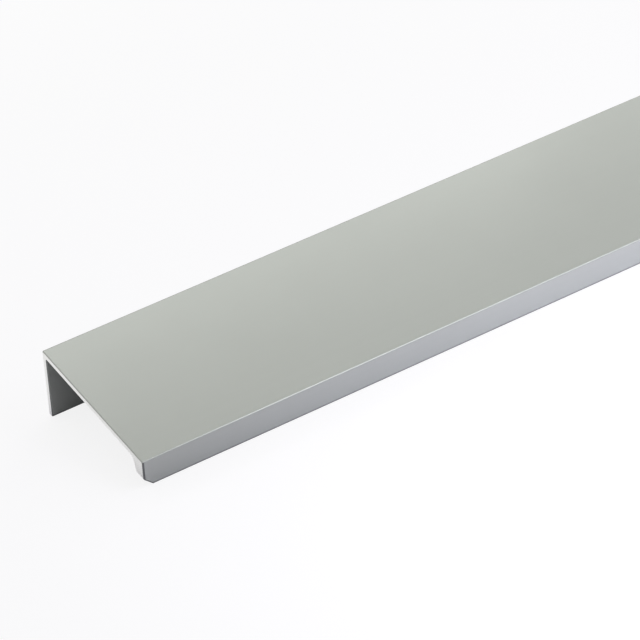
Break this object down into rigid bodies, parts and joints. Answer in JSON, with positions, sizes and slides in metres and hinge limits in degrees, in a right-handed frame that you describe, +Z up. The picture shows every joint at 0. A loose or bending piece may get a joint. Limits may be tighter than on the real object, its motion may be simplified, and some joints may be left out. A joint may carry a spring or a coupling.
{
  "type": "finger pull profile",
  "caption": "Extruded aluminium finger pull for the edge of a door or drawer front: flat top plate, screw-on flange behind, short tapered grip lip in front with clipped ends.",
  "frame": {"origin": "on the floor, under the middle of the piece's box", "axes": "+X along the length of the profile, +Y from the lip to the flange, +Z up as the piece lies on a level floor"},
  "size_m": [0.2, 0.0428, 0.0167],
  "materials": {
    "satin_anodised": "satin clear-anodised"
  },
  "bodies": {
    "root": {"finger_pull_profile": "satin_anodised"}
  },
  "joints": []
}
